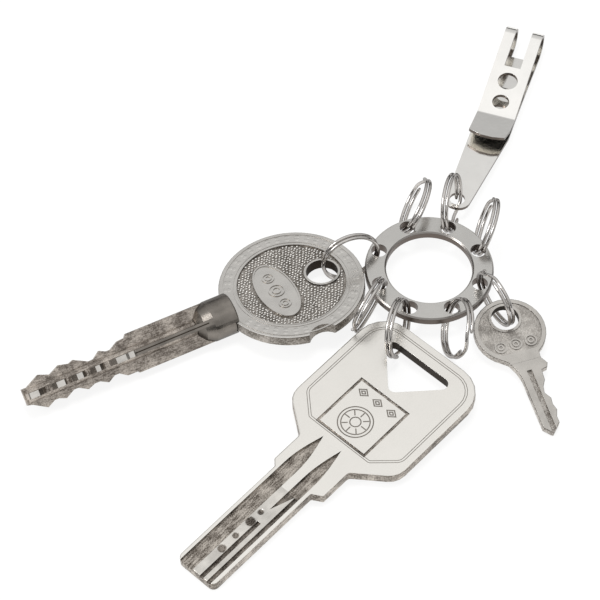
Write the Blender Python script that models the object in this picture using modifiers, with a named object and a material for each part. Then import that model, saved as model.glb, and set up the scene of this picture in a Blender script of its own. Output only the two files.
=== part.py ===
"""Ring plate with eight split rings, a folded strip clip and three keys, lying on a table.

Metres, +Z up. The table is at z = 0 and the origin is under the middle of the whole set.
"""
from math import asin, atan2, cos, pi, radians, sin, tan

import bmesh
import bpy
from mathutils import Matrix, Vector

MM = 0.001
ARC_STEP = radians(18.0)

# Fits
CLEARANCE = 0.28 * MM
SLOT_GAP = 0.15 * MM

# Ring plate
PLATE_DIAMETER = 28.0 * MM
PLATE_THICKNESS = 2.2 * MM
PLATE_CHAMFER = 0.35 * MM
PLATE_MIDDLE = (28.88 * MM, 2.63 * MM, 5.155 * MM)
PLATE_STEPS = 72
HOLE_COUNT = 8
HOLE_FIRST_ANGLE = 22.5
HOLE_WALL = 0.6 * MM
HOLE_STEPS = 24

# Split rings, each one two turns of round wire
WIRE = 0.66 * MM
RING_BORE = 11.94 * MM
TURN_GAP = 0.42 * MM
TURNS = 2
POINTS_PER_TURN = 24

# Hole number, heading, lift, roll and place of the cut ends in degrees, and the shift in the hole
RINGS = {
    "split_ring_1": (2, 74.0, 8.0, 23.4, 180, (0.13 * MM, -0.09 * MM, 0.35 * MM)),
    "split_ring_2": (1, 80.0, 27.3, -10.5, 90, (-0.14 * MM, -0.11 * MM, 0.04 * MM)),
    "split_ring_3": (0, 74.0, 18.5, 17.4, 180, (0.25 * MM, 0.04 * MM, 0.15 * MM)),
    "split_ring_4": (7, 297.8, 23.7, 5.8, 270, (0.38 * MM, 0.26 * MM, -0.22 * MM)),
    "split_ring_5": (6, 280.5, 9.1, -22.3, 195, (-0.13 * MM, 0.66 * MM, 0.13 * MM)),
    "split_ring_6": (5, 248.8, 16.9, 10.3, 90, (-0.57 * MM, -0.24 * MM, -0.11 * MM)),
    "split_ring_7": (4, 243.4, 10.9, -10.1, 180, (0.25 * MM, -0.39 * MM, 0.22 * MM)),
    "split_ring_8": (3, 198.9, 9.1, 5.8, 90, (-0.39 * MM, -0.15 * MM, 0.48 * MM)),
}

# What hangs on a ring: ring, angle round it from the plate's hole, then heading, rise and roll
HANGS = {
    "suspension_clip": ("split_ring_2", 108.0, 72.0, -1.9, 0.0),
    "small_key": ("split_ring_4", 117.0, 288.0, -5.2, 0.0),
    "dimple_key": ("split_ring_6", 130.0, 227.1, -1.94, 0.0),
    "cross_key": ("split_ring_8", 151.0, 207.0, 0.0, 8.5),
}

# Strip clip, measured from its tail hole along the strip
STRIP = 0.8 * MM
CLIP_WIDTH = 8.8 * MM
TAIL_RADIUS = 2.6 * MM
TAIL_HANG = (-0.05 * MM, -0.25 * MM)
TAIL_SLACK = 1.12 * MM
TAPER_LENGTH = 21.0 * MM
TAPER_ROUNDING = 3.0 * MM
CLIP_REACH = 52.6 * MM
LOOP_RADIUS = 3.1 * MM
LOOP_DROP = 1.7 * MM
LOOP_LEAN = radians(5.0)
BULGE_PULL = 8.0 * MM
BULGE_STEPS = 6
PINCH_AT = 25.8 * MM
PINCH_GAP = 0.2 * MM
BEND_RADIUS = 1.2 * MM
LIP_LENGTH = 9.0 * MM
LIP_ANGLE = radians(15.0)
LIP_ROUNDING = 9.0 * MM
LIP_SWEEP = radians(41.6)
CLIP_HOLES = ((29.7 * MM, 3.9 * MM), (35.6 * MM, 4.6 * MM))
FORK_GAP = 3.8 * MM
FORK_AT = 39.6 * MM
FORK_UNDER = 47.0 * MM

# Key with drilled dimples, measured from the middle of the square on its head
DIMPLE_THICKNESS = 2.6 * MM
DIMPLE_EDGE = 0.3 * MM
HEAD_BACK = 20.6 * MM
HEAD_FRONT = 8.3 * MM
HEAD_WIDTH = 30.3 * MM
HEAD_CORNER = 7.0 * MM
CHEEK_CORNER = 4.5 * MM
NECK_AT = 14.4 * MM
NECK_WIDTH = 13.8 * MM
NECK_CORNER = 1.2 * MM
SHOULDER_AT = 22.0 * MM
SHOULDER_CORNER = 0.5 * MM
STEP_LENGTH = 1.3 * MM
BLADE_WIDTH = 10.2 * MM
BLADE_SHIFT = -0.5 * MM
BLADE_TIP = 52.1 * MM
BLADE_CORNER = 1.4 * MM
EYE_BASE = 16.3 * MM
EYE_APEX = 5.7 * MM
EYE_WALL = 4.85 * MM
EYE_CORNER = 1.5 * MM
EYE_HANG = (2.65 * MM, 9.3 * MM)
SQUARE_LENGTH = 14.3 * MM
SQUARE_WIDTH = 13.6 * MM
SQUARE_AT = 2.35 * MM
LINE_WIDTH = 0.6 * MM
LINE_DEPTH = 0.25 * MM
EDGE_LAND = 0.9 * MM
MIDDLE_LAND = 2.0 * MM
MIDDLE_LAND_AT = -0.2 * MM
FLUTE_DEPTH = 0.55 * MM
FLUTE_STARTS = (11.3 * MM, 11.5 * MM)
FLUTE_TAPER = 10.0 * MM
FLUTE_STEPS = 6
RIDGE = 1.0 * MM
RIDGE_START = 26.0 * MM
RIDGE_JOIN = 31.5 * MM
GROOVE_START = 35.2 * MM
DIMPLE_DEPTH = 0.5 * MM
DIMPLES = ((33.2 * MM, 1.6 * MM), (36.2 * MM, 2.8 * MM), (40.6 * MM, 1.8 * MM), (44.6 * MM, 2.4 * MM))

# Key with a cross blade, measured from the middle of its round bow
BOW_DIAMETER = 31.8 * MM
BOW_THICKNESS = 2.5 * MM
BOW_EDGE = 0.3 * MM
BOW_STEPS = 72
BOW_HOLE = 7.0 * MM
BOW_HOLE_AT = 7.4 * MM
BOW_HANG = (-1.11 * MM, -0.75 * MM)
BOW_RIM = 3.9 * MM
FIELD_DEPTH = 0.3 * MM
EYELET = 0.5 * MM
OVAL_LENGTH = 8.4 * MM
OVAL_WIDTH = 16.8 * MM
OVAL_AT = (3.7 * MM, 0.2 * MM)
NOTCH_AT = 0.5 * MM
NOTCH_RADIUS = 3.6 * MM
NOTCH_DEPTH = 2.0 * MM
COLLAR_DIAMETER = 9.1 * MM
COLLAR_START = 14.5 * MM
COLLAR_END = 20.2 * MM
COLLAR_DOME = 3.4 * MM
COLLAR_CHAMFER = 0.3 * MM
COLLAR_STEPS = 40
CROSS_TIP = 63.0 * MM
CROSS_TURN = radians(45.0)
WING_SPAN = 8.8 * MM
WING_ROOT = 2.0 * MM
TIP_STAGGER = 0.3 * MM
WING_THICKNESS = 1.3 * MM
WING_START = 38.0 * MM
TIP_RADIUS = 1.8 * MM
WING_CORE = 1.7 * MM

# Where each wing's edge bends, in millimetres past WING_START, and how deep it is cut there
WING_CUTS = {
    "side": (
        ((0.5, 0.7), (2.2, 0.8), (4.2, 1.9), (5.2, 1.9), (6.6, 1.2), (8.3, 2.4), (9.5, 2.45), (12.5, 0.9),
         (13.6, 1.3), (15.8, 0.75), (18.2, 1.9), (20.6, 1.0), (23.8, 2.6)),
        ((0.2, 0.4), (2.6, 0.4), (4.2, 1.5), (5.4, 1.5), (7.0, 0.6), (8.7, 1.5), (10.0, 1.5), (11.6, 0.9),
         (13.5, 2.0), (14.6, 2.0), (16.7, 0.9), (18.2, 1.5), (19.2, 1.5), (21.0, 0.6), (23.8, 2.3)),
    ),
    "face": (
        ((2.2, 0.6), (4.4, 0.6), (6.0, 1.8), (7.2, 1.8), (8.8, 0.7), (10.6, 1.9), (12.0, 0.5), (14.0, 0.5),
         (15.8, 1.6), (17.8, 0.4), (19.6, 1.8), (22.0, 0.6), (23.6, 1.6)),
        ((0.4, 0.4), (1.6, 0.4), (2.3, 0.0), (4.6, 0.0), (6.5, 1.4), (7.0, 1.4), (8.3, 0.1), (9.3, 0.1),
         (10.9, 1.5), (11.3, 1.5), (12.3, 0.1), (13.6, 0.1), (15.3, 1.6), (15.7, 1.6), (16.4, 0.2),
         (18.2, 0.2), (20.0, 1.7), (20.5, 1.7), (22.3, 0.15), (24.3, 0.2)),
    ),
}

# Small key, measured from the middle of its head
SMALL_THICKNESS = 1.8 * MM
SMALL_EDGE = 0.2 * MM
SMALL_HEAD = 15.6 * MM
SMALL_HOLE = 6.0 * MM
SMALL_HOLE_AT = 3.1 * MM
SMALL_HANG = (1.25 * MM, 0.35 * MM)
SMALL_RIM = 1.0 * MM
SMALL_EYELET = 0.6 * MM
SMALL_FIELD_DEPTH = 0.2 * MM
SMALL_TIP = 26.0 * MM
SMALL_STOP = (9.8 * MM, 4.9 * MM)
SMALL_STOP_WIDTH = 1.6 * MM
SMALL_STOP_DROP = 0.9 * MM
SMALL_BACK = -1.6 * MM
SMALL_BACK_SHOULDER = 1.4 * MM
SMALL_TIP_BEVEL = (1.8 * MM, 1.3 * MM)
SMALL_BITS_START = 12.0 * MM
SMALL_BIT_PITCH = 1.5 * MM
SMALL_BITS = (3.0, 2.9, 2.0, 1.7, 2.6, 2.4, 2.8, 2.2, 2.2)
SMALL_GROOVE = (10.5 * MM, 0.45 * MM, 1.1 * MM, 0.45 * MM)

# Sizes that follow from the ones above
RING_RADIUS = (RING_BORE + WIRE) / 2
TURN_PITCH = WIRE + TURN_GAP
BUNDLE = WIRE + TURN_PITCH
PLATE_HOLE = BUNDLE + 2 * CLEARANCE + PLATE_THICKNESS / 2
PLATE_BORE = PLATE_DIAMETER - 2 * (PLATE_HOLE + 2 * HOLE_WALL)
HOLE_CIRCLE = (PLATE_DIAMETER + PLATE_BORE) / 4
TAIL_HOLE = BUNDLE + 2 * CLEARANCE + TAIL_SLACK
TAIL_SIDE = CLIP_WIDTH / 2 - TAIL_RADIUS
EYE_WIDTH = HEAD_WIDTH - 2 * EYE_WALL
BOW_RADIUS = BOW_DIAMETER / 2
COLLAR_RADIUS = COLLAR_DIAMETER / 2

FINISHES = {
    "clip_steel": ((0.62, 0.61, 0.59), 0.22),
    "plate_nickel": ((0.55, 0.54, 0.52), 0.2),
    "ring_nickel": ((0.45, 0.44, 0.42), 0.25),
    "dimple_nickel": ((0.7, 0.69, 0.66), 0.24),
    "bow_nickel": ((0.47, 0.45, 0.43), 0.32),
    "blade_nickel": ((0.4, 0.38, 0.35), 0.34),
    "small_nickel": ((0.42, 0.4, 0.38), 0.3),
}


def start_clean():
    """Take every object away and make the two collections."""
    for item in list(bpy.data.objects):
        bpy.data.objects.remove(item)
    groups = []
    for name in ("keyring_set", "cutters"):
        group = bpy.data.collections.new(name)
        bpy.context.scene.collection.children.link(group)
        groups.append(group)
    groups[1].hide_render = True
    return groups


PIECES, CUTTERS = start_clean()


def finish(name):
    """The named metal, made on its first use."""
    if name in bpy.data.materials:
        return bpy.data.materials[name]
    colour, roughness = FINISHES[name]
    metal = bpy.data.materials.new(name)
    metal.use_nodes = True
    shader = metal.node_tree.nodes["Principled BSDF"]
    shader.inputs["Base Color"].default_value = (*colour, 1.0)
    shader.inputs["Metallic"].default_value = 1.0
    shader.inputs["Roughness"].default_value = roughness
    metal.diffuse_color = (*colour, 1.0)
    return metal


def piece(name, mesh, metal, holder=None, place=None):
    """A finished piece in its place, or at a place on its holder."""
    item = bpy.data.objects.new(name, mesh)
    PIECES.objects.link(item)
    mesh.materials.clear()
    mesh.materials.append(finish(metal))
    item.parent = holder
    item.matrix_basis = place or Matrix()
    return item


def reshape(target, mesh, operation="DIFFERENCE", place=None):
    """Cut the mesh out of the target, or join it on, at a place in the target's own frame."""
    cutter = bpy.data.objects.new(f"{target.name}_{mesh.name}", mesh)
    CUTTERS.objects.link(cutter)
    cutter.hide_render = True
    cutter.display_type = "WIRE"
    cutter.parent = target
    cutter.matrix_basis = place or Matrix()
    step = target.modifiers.new(mesh.name, "BOOLEAN")
    step.operation = operation
    step.solver = "EXACT"
    step.object = cutter


def baked(data, name, prepare=None, flat=False):
    """The evaluated shape of a curve or profile as one welded mesh, with its flat faces made whole if asked."""
    source = bpy.data.objects.new(name, data)
    bpy.context.scene.collection.objects.link(source)
    if prepare:
        prepare(source)
    graph = bpy.context.evaluated_depsgraph_get()
    mesh = bpy.data.meshes.new_from_object(source.evaluated_get(graph))
    bpy.data.objects.remove(source)
    shape = bmesh.new()
    shape.from_mesh(mesh)
    bmesh.ops.remove_doubles(shape, verts=shape.verts, dist=0.001 * MM)
    if flat:
        bmesh.ops.dissolve_limit(shape, angle_limit=radians(0.05), verts=shape.verts, edges=shape.edges)
    bmesh.ops.recalc_face_normals(shape, faces=shape.faces)
    shape.to_mesh(mesh)
    shape.free()
    mesh.name = name
    return mesh


def prism(name, outline, low, high, edge=0.0, inner=()):
    """A flat shape between two heights, with rounded edges if asked, and with inner outlines left out."""
    curve = bpy.data.curves.new(name, "CURVE")
    curve.dimensions = "2D"
    curve.fill_mode = "BOTH"
    curve.extrude = (high - low) / 2 - edge
    curve.bevel_depth = edge
    curve.bevel_resolution = 1
    curve.offset = -edge
    for points in (outline, *inner):
        spline = curve.splines.new("POLY")
        spline.points.add(len(points) - 1)
        for slot, (x, y) in zip(spline.points, points):
            slot.co = (x, y, 0.0, 1.0)
        spline.use_cyclic_u = True
    mesh = baked(curve, name, flat=True)
    bpy.data.curves.remove(curve)
    mesh.transform(Matrix.Translation((0.0, 0.0, (high + low) / 2)))
    return mesh


def turned(name, profile, steps, closed=False):
    """A shape turned about z from (radius, height) points."""
    mesh = bpy.data.meshes.new(name)
    shape = bmesh.new()
    line = [shape.verts.new((x, 0.0, z)) for x, z in profile]
    pairs = list(zip(line, line[1:]))
    if closed:
        pairs.append((line[-1], line[0]))
    for pair in pairs:
        shape.edges.new(pair)
    shape.to_mesh(mesh)
    shape.free()

    def prepare(source):
        step = source.modifiers.new("turn", "SCREW")
        step.axis = "Z"
        step.steps = steps
        step.render_steps = steps
        step.use_merge_vertices = True
        step.merge_threshold = 0.01 * MM

    return baked(mesh, name, prepare)


def tilted(heading, rise, roll):
    """Turn that lays x along the heading and up the rise, with y to its left, rolled up."""
    turn = Matrix.Rotation(radians(heading), 4, "Z")
    climb = Matrix.Rotation(-radians(rise), 4, "Y")
    return turn @ climb @ Matrix.Rotation(radians(roll), 4, "X")


def arc(centre, radius, first, last, steps=None):
    """Points round a centre between two angles."""
    steps = steps or max(2, round(abs(last - first) / ARC_STEP))
    points = []
    for k in range(steps + 1):
        angle = first + (last - first) * k / steps
        points.append(centre + Vector((cos(angle), sin(angle))) * radius)
    return points


def circle(x, y, radius, steps):
    """A full circle of points."""
    return arc(Vector((x, y)), radius, 0.0, 2 * pi * (steps - 1) / steps, steps - 1)


def corner(before, here, after, radius):
    """The arc that rounds one corner, kept inside the shorter wall."""
    back = Vector(before) - Vector(here)
    ahead = Vector(after) - Vector(here)
    half = back.angle(ahead) / 2
    reach = min(radius / tan(half), 0.45 * min(back.length, ahead.length))
    radius = reach * tan(half)
    middle = (back.normalized() + ahead.normalized()).normalized()
    centre = Vector(here) + middle * radius / sin(half)
    first = Vector(here) + back.normalized() * reach - centre
    last = Vector(here) + ahead.normalized() * reach - centre
    start = atan2(first.y, first.x)
    sweep = (atan2(last.y, last.x) - start + pi) % (2 * pi) - pi
    return arc(centre, radius, start, start + sweep)


def rounded(corners):
    """A closed outline through (x, y, rounding) corners."""
    outline = []
    for k, (x, y, radius) in enumerate(corners):
        if radius > 0:
            following = corners[(k + 1) % len(corners)]
            outline += corner(corners[k - 1][:2], (x, y), following[:2], radius)
        else:
            outline.append(Vector((x, y)))
    return outline


def box_outline(x0, x1, y0, y1):
    """Four corners of a rectangle."""
    return [(x0, y0), (x1, y0), (x1, y1), (x0, y1)]


def hole_place(number):
    """Middle of one of the plate's small holes."""
    angle = radians(HOLE_FIRST_ANGLE + 360.0 / HOLE_COUNT * number)
    return Vector(PLATE_MIDDLE) + Vector((cos(angle), sin(angle), 0.0)) * HOLE_CIRCLE


def ring_place(name):
    """Frame of a ring: origin in its hole of the plate, x towards the ring's middle, z up the ring."""
    number, heading, lift, roll, _, shift = RINGS[name]
    seat = hole_place(number) + Vector(shift)
    return Matrix.Translation(seat) @ tilted(heading, lift, roll)


def wire_point(angle, side=0.0):
    """Point of a ring in its own frame, an angle on from the plate's hole."""
    return Vector((RING_RADIUS * (1 - cos(angle)), side, -RING_RADIUS * sin(angle)))


def wire_line(start):
    """Middle line of a ring's wire, with its passes through the hole centred there."""
    points = []
    for k in range(TURNS * POINTS_PER_TURN + 1):
        turn = k / POINTS_PER_TURN
        side = TURN_PITCH * ((TURNS + 1) / 2 - turn - start / 360)
        points.append(wire_point(radians(start) + 2 * pi * turn, side))
    return points


def own_gap(points):
    """Least clear distance between one turn of a ring and the next."""
    least = RING_BORE
    for k, point in enumerate(points):
        for other in points[k + POINTS_PER_TURN // 2:]:
            least = min(least, (point - other).length)
    return least - WIRE


def build_plate():
    """Flat ring with a round hole for each split ring."""
    outer = PLATE_DIAMETER / 2
    inner = PLATE_BORE / 2
    half = PLATE_THICKNESS / 2
    profile = [
        (outer - PLATE_CHAMFER, half), (outer, half - PLATE_CHAMFER),
        (outer, PLATE_CHAMFER - half), (outer - PLATE_CHAMFER, -half),
        (inner + PLATE_CHAMFER, -half), (inner, PLATE_CHAMFER - half),
        (inner, half - PLATE_CHAMFER), (inner + PLATE_CHAMFER, half),
    ]
    mesh = turned("ring_plate", profile, PLATE_STEPS, closed=True)
    plate = piece("ring_plate", mesh, "plate_nickel", place=Matrix.Translation(PLATE_MIDDLE))
    for number in range(HOLE_COUNT):
        spot = hole_place(number) - Vector(PLATE_MIDDLE)
        outline = circle(spot.x, spot.y, PLATE_HOLE / 2, HOLE_STEPS)
        reshape(plate, prism(f"hole_{number + 1}", outline, -PLATE_THICKNESS, PLATE_THICKNESS))


def build_rings():
    """Eight split rings, each in its own hole."""
    for name, (_, _, _, _, start, _) in RINGS.items():
        points = wire_line(start)
        curve = bpy.data.curves.new(name, "CURVE")
        curve.dimensions = "3D"
        curve.bevel_depth = WIRE / 2
        curve.bevel_resolution = 1
        curve.use_fill_caps = True
        spline = curve.splines.new("POLY")
        spline.points.add(len(points) - 1)
        for slot, point in zip(spline.points, points):
            slot.co = (*point, 1.0)
        mesh = baked(curve, name)
        bpy.data.curves.remove(curve)
        mesh.shade_smooth()
        piece(name, mesh, "ring_nickel", place=ring_place(name))
        print(name, "least gap between turns", round(own_gap(points) / MM, 3), "mm")


def hang(name, spot):
    """Hinge empty on a ring's wire, and the place on it for a piece that hangs by the given spot."""
    ring, angle, heading, rise, roll = HANGS[name]
    point = ring_place(ring) @ wire_point(radians(angle))
    empty = bpy.data.objects.new(f"{name}_hinge", None)
    PIECES.objects.link(empty)
    empty.matrix_basis = Matrix.Translation(point) @ tilted(heading, rise, roll)
    return empty, Matrix.Translation((-spot[0], -spot[1], 0.0))


def strip_path():
    """Middle line of the folded strip, seen from its side: tail, bulge, loop, leg and lip."""
    loop = Vector((CLIP_REACH - LOOP_RADIUS - STRIP / 2, LOOP_RADIUS - LOOP_DROP))
    pinch = Vector((PINCH_AT, STRIP + PINCH_GAP))
    reach = loop - pinch
    slope = atan2(reach.y, reach.x) + asin(LOOP_RADIUS / reach.length)
    fold = arc(loop, LOOP_RADIUS, -pi / 2 - LOOP_LEAN, pi / 2 + slope)
    start = Vector((PINCH_AT, 0.0))
    pulls = (
        start, start + Vector((BULGE_PULL, 0.0)),
        fold[0] - Vector((cos(LOOP_LEAN), -sin(LOOP_LEAN))) * BULGE_PULL, fold[0],
    )
    bulge = []
    for k in range(BULGE_STEPS):
        t = k / BULGE_STEPS
        weights = ((1 - t) ** 3, 3 * t * (1 - t) ** 2, 3 * t * t * (1 - t), t ** 3)
        bulge.append(sum((weight * pull for weight, pull in zip(weights, pulls)), Vector((0.0, 0.0))))
    lip = pinch + Vector((-cos(LIP_ANGLE), sin(LIP_ANGLE))) * LIP_LENGTH
    return [Vector((-TAIL_RADIUS * 2, 0.0)), *bulge, *fold, *corner(fold[-1], pinch, lip, BEND_RADIUS), lip]


def strip_outline(path):
    """The strip's two faces, half a thickness either side of its middle line."""
    left = []
    right = []
    for k, point in enumerate(path):
        back = point - path[k - 1] if k else path[1] - point
        ahead = path[k + 1] - point if k + 1 < len(path) else back
        across = back.normalized() + ahead.normalized()
        normal = Vector((-across.y, across.x)).normalized()
        share = normal.dot(Vector((-ahead.y, ahead.x)).normalized())
        left.append(point + normal * (STRIP / 2 / share))
        right.append(point - normal * (STRIP / 2 / share))
    return left + right[::-1]


def build_clip():
    """Folded strip: round tail with a hole, a pinched throat, two holes and a forked loop."""
    empty, place = hang("suspension_clip", (TAIL_HANG[0], TAIL_SIDE + TAIL_HANG[1]))
    side = prism("strip", strip_outline(strip_path()), -CLIP_WIDTH, CLIP_WIDTH)
    side.transform(Matrix.Rotation(pi / 2, 4, "X"))
    clip = piece("suspension_clip", side, "clip_steel", empty, place)
    half = CLIP_WIDTH / 2
    plan = rounded([
        (-TAIL_RADIUS, half, TAIL_RADIUS), (-TAIL_RADIUS, TAIL_SIDE - TAIL_RADIUS, TAIL_RADIUS),
        (TAPER_LENGTH, -half, TAPER_ROUNDING), (CLIP_REACH + STRIP, -half, 0), (CLIP_REACH + STRIP, half, 0),
    ])
    high = 4 * LOOP_RADIUS
    reshape(clip, prism("plan", plan, -high, high), "INTERSECT")
    tail = circle(0.0, TAIL_SIDE, TAIL_HOLE / 2, HOLE_STEPS)
    reshape(clip, prism("tail_hole", tail, -STRIP, STRIP))
    for number, (spot, width) in enumerate(CLIP_HOLES):
        outline = circle(spot, 0.0, width / 2, HOLE_STEPS)
        reshape(clip, prism(f"leg_hole_{number + 1}", outline, STRIP / 2 + PINCH_GAP / 2, high))
    middle = LOOP_RADIUS - LOOP_DROP
    fork = FORK_GAP / 2
    upper = box_outline(FORK_AT, CLIP_REACH + STRIP, -fork, fork)
    reshape(clip, prism("fork_above", upper, middle, high))
    lower = box_outline(FORK_UNDER, CLIP_REACH + STRIP, -fork, fork)
    reshape(clip, prism("fork_below", lower, -high, middle + STRIP))
    end = PINCH_AT - LIP_LENGTH * cos(LIP_ANGLE)
    bow = arc(Vector((end + LIP_ROUNDING, 0.0)), LIP_ROUNDING, pi + LIP_SWEEP, pi - LIP_SWEEP)
    beyond = [*bow, (end - CLIP_WIDTH / 2, CLIP_WIDTH), (end - CLIP_WIDTH / 2, -CLIP_WIDTH)]
    reshape(clip, prism("lip_end", beyond, 1.5 * STRIP, high))


def dimple_outline():
    """Edge of the flat key: square head, neck, a shoulder on either side, and a blade a little off the middle."""
    sides = []
    for side in (1, -1):
        blade = BLADE_SHIFT + side * BLADE_WIDTH / 2
        sides.append([
            (-HEAD_BACK, side * HEAD_WIDTH / 2, HEAD_CORNER), (HEAD_FRONT, side * HEAD_WIDTH / 2, CHEEK_CORNER),
            (NECK_AT, side * NECK_WIDTH / 2, NECK_CORNER), (SHOULDER_AT, side * NECK_WIDTH / 2, SHOULDER_CORNER),
            (SHOULDER_AT + STEP_LENGTH, blade, SHOULDER_CORNER), (BLADE_TIP, blade, BLADE_CORNER),
        ])
    return rounded(sides[0] + sides[1][::-1])


def leaf(start, low, high):
    """The two curved sides of a flute's run-out, from its point to its full width."""
    sides = []
    for side in (1, -1):
        line = []
        for k in range(FLUTE_STEPS + 1):
            t = k / FLUTE_STEPS
            line.append((start + FLUTE_TAPER * t, (low + high + side * (high - low) * sin(pi / 2 * t)) / 2))
        sides.append(line)
    return sides


def cut_flutes(key):
    """Two milled flutes that run off the tip; a ridge stands in the second, with a groove between it and the land."""
    half = DIMPLE_THICKNESS / 2
    end = BLADE_TIP + half
    left = BLADE_SHIFT - BLADE_WIDTH / 2 + EDGE_LAND
    right = BLADE_SHIFT + BLADE_WIDTH / 2 - EDGE_LAND
    land = (MIDDLE_LAND_AT - MIDDLE_LAND / 2, MIDDLE_LAND_AT + MIDDLE_LAND / 2)
    ridge = ((land[1] + right - RIDGE) / 2, (land[1] + right + RIDGE) / 2)
    upper, lower = leaf(FLUTE_STARTS[0], left, land[0])
    first = [*upper, (end, land[0]), (end, left), *lower[:0:-1]]
    upper, lower = leaf(FLUTE_STARTS[1], land[1], right)
    second = [*upper, (end, right), (end, ridge[1]), (RIDGE_START, ridge[1]), (RIDGE_JOIN, land[1]), *lower[:0:-1]]
    groove = box_outline(GROOVE_START, end, land[1], ridge[0])
    for number, outline in enumerate((first, second, groove)):
        reshape(key, prism(f"flute_{number + 1}", outline, half - FLUTE_DEPTH, 2 * half))


def build_dimple_key():
    """Flat key: square head with a three-cornered eye, fluted blade with drilled dimples."""
    empty, place = hang("dimple_key", (EYE_HANG[0] - EYE_BASE, EYE_HANG[1] - HEAD_WIDTH / 2))
    half = DIMPLE_THICKNESS / 2
    mesh = prism("dimple_key", dimple_outline(), -half, half, DIMPLE_EDGE)
    key = piece("dimple_key", mesh, "dimple_nickel", empty, place)
    eye = rounded([
        (-EYE_BASE, EYE_WIDTH / 2, EYE_CORNER), (-EYE_BASE, -EYE_WIDTH / 2, EYE_CORNER),
        (-EYE_APEX, 0.0, EYE_CORNER),
    ])
    reshape(key, prism("eye", eye, -2 * half, 2 * half))
    long = SQUARE_LENGTH / 2
    wide = SQUARE_WIDTH / 2
    outer = box_outline(SQUARE_AT - long, SQUARE_AT + long, -wide, wide)
    long -= LINE_WIDTH
    wide -= LINE_WIDTH
    inner = box_outline(SQUARE_AT - long, SQUARE_AT + long, -wide, wide)
    reshape(key, prism("square", outer, half - LINE_DEPTH, 2 * half, inner=[inner]))
    cut_flutes(key)
    for number, (spot, width) in enumerate(DIMPLES):
        cone = [(0.0, half - DIMPLE_DEPTH), (width / 2, half), (width / 2, 2 * half), (0.0, 2 * half)]
        drill = turned(f"dimple_{number + 1}", cone, HOLE_STEPS // 2)
        reshape(key, drill, place=Matrix.Translation((spot, MIDDLE_LAND_AT, 0.0)))


def build_bow(empty, place):
    """Round bow: raised rim, sunk fields, raised oval, hole and a notch in its near edge."""
    half = BOW_THICKNESS / 2
    mesh = prism("cross_key_bow", circle(0.0, 0.0, BOW_RADIUS, BOW_STEPS), -half, half, BOW_EDGE)
    bow = piece("cross_key_bow", mesh, "bow_nickel", empty, place)
    rim = circle(0.0, 0.0, BOW_RADIUS - BOW_RIM, BOW_STEPS * 2 // 3)
    eyelet = circle(-BOW_HOLE_AT, 0.0, BOW_HOLE / 2 + EYELET, HOLE_STEPS)
    oval = [(x * OVAL_LENGTH + OVAL_AT[0], y * OVAL_WIDTH + OVAL_AT[1]) for x, y in circle(0, 0, 0.5, 32)]
    reshape(bow, prism("field_above", rim, half - FIELD_DEPTH, 2 * half, inner=[eyelet, oval]))
    reshape(bow, prism("field_below", rim, -2 * half, FIELD_DEPTH - half, inner=[eyelet, oval]))
    hole = circle(-BOW_HOLE_AT, 0.0, BOW_HOLE / 2, HOLE_STEPS)
    reshape(bow, prism("hole", hole, -2 * half, 2 * half))
    notch = circle(NOTCH_AT, BOW_RADIUS + NOTCH_RADIUS - NOTCH_DEPTH, NOTCH_RADIUS, HOLE_STEPS)
    reshape(bow, prism("notch", notch, -2 * half, 2 * half))


def wing_pair(name, cuts, tip):
    """Flat plate for two opposite wings, each one with its own cuts along its edge."""
    root = COLLAR_END - WING_ROOT
    edges = []
    for side, bends in zip((-1, 1), cuts):
        edge = [(root, side * WING_SPAN / 2), (WING_START, side * WING_SPAN / 2)]
        edge += [(WING_START + spot * MM, side * (WING_SPAN / 2 - depth * MM)) for spot, depth in bends]
        edge.append((tip, side * TIP_RADIUS))
        edges.append(edge)
    return prism(name, edges[0] + edges[1][::-1], -WING_THICKNESS / 2, WING_THICKNESS / 2)


def build_blade(empty, place):
    """Cross blade: two crossed plates joined to a round collar that is slotted for the bow."""
    radius = COLLAR_RADIUS
    profile = [
        (0.0, COLLAR_END + COLLAR_DOME), (radius * 0.45, COLLAR_END + COLLAR_DOME * 0.9),
        (radius * 0.8, COLLAR_END + COLLAR_DOME * 0.5), (radius, COLLAR_END - COLLAR_CHAMFER),
        (radius, COLLAR_START + COLLAR_CHAMFER), (radius - COLLAR_CHAMFER, COLLAR_START), (0.0, COLLAR_START),
    ]
    mesh = turned("cross_key_blade", profile, COLLAR_STEPS)
    mesh.transform(Matrix.Rotation(pi / 2, 4, "Y"))
    blade = piece("cross_key_blade", mesh, "blade_nickel", empty, place)
    turn = Matrix.Rotation(-CROSS_TURN, 4, "X")
    reshape(blade, wing_pair("side_wings", WING_CUTS["side"], CROSS_TIP), "UNION", turn)
    turn = Matrix.Rotation(pi / 2 - CROSS_TURN, 4, "X")
    mesh = wing_pair("face_wings", WING_CUTS["face"], CROSS_TIP - TIP_STAGGER)
    reshape(blade, mesh, "UNION", turn)
    core = circle(0.0, 0.0, WING_CORE, 16)
    mesh = prism("core", core, COLLAR_END - 2 * WING_ROOT, CROSS_TIP - 2 * TIP_STAGGER)
    reshape(blade, mesh, "UNION", Matrix.Rotation(pi / 2, 4, "Y"))
    slot = circle(0.0, 0.0, BOW_RADIUS + SLOT_GAP, BOW_STEPS)
    half = BOW_THICKNESS / 2 + SLOT_GAP
    reshape(blade, prism("bow_slot", slot, -half, half))


def build_cross_key():
    """Round bow and cross blade, hung on one ring."""
    spot = (BOW_HANG[0] - BOW_HOLE_AT, BOW_HANG[1])
    empty, place = hang("cross_key", spot)
    build_bow(empty, place)
    build_blade(empty, place)


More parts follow.
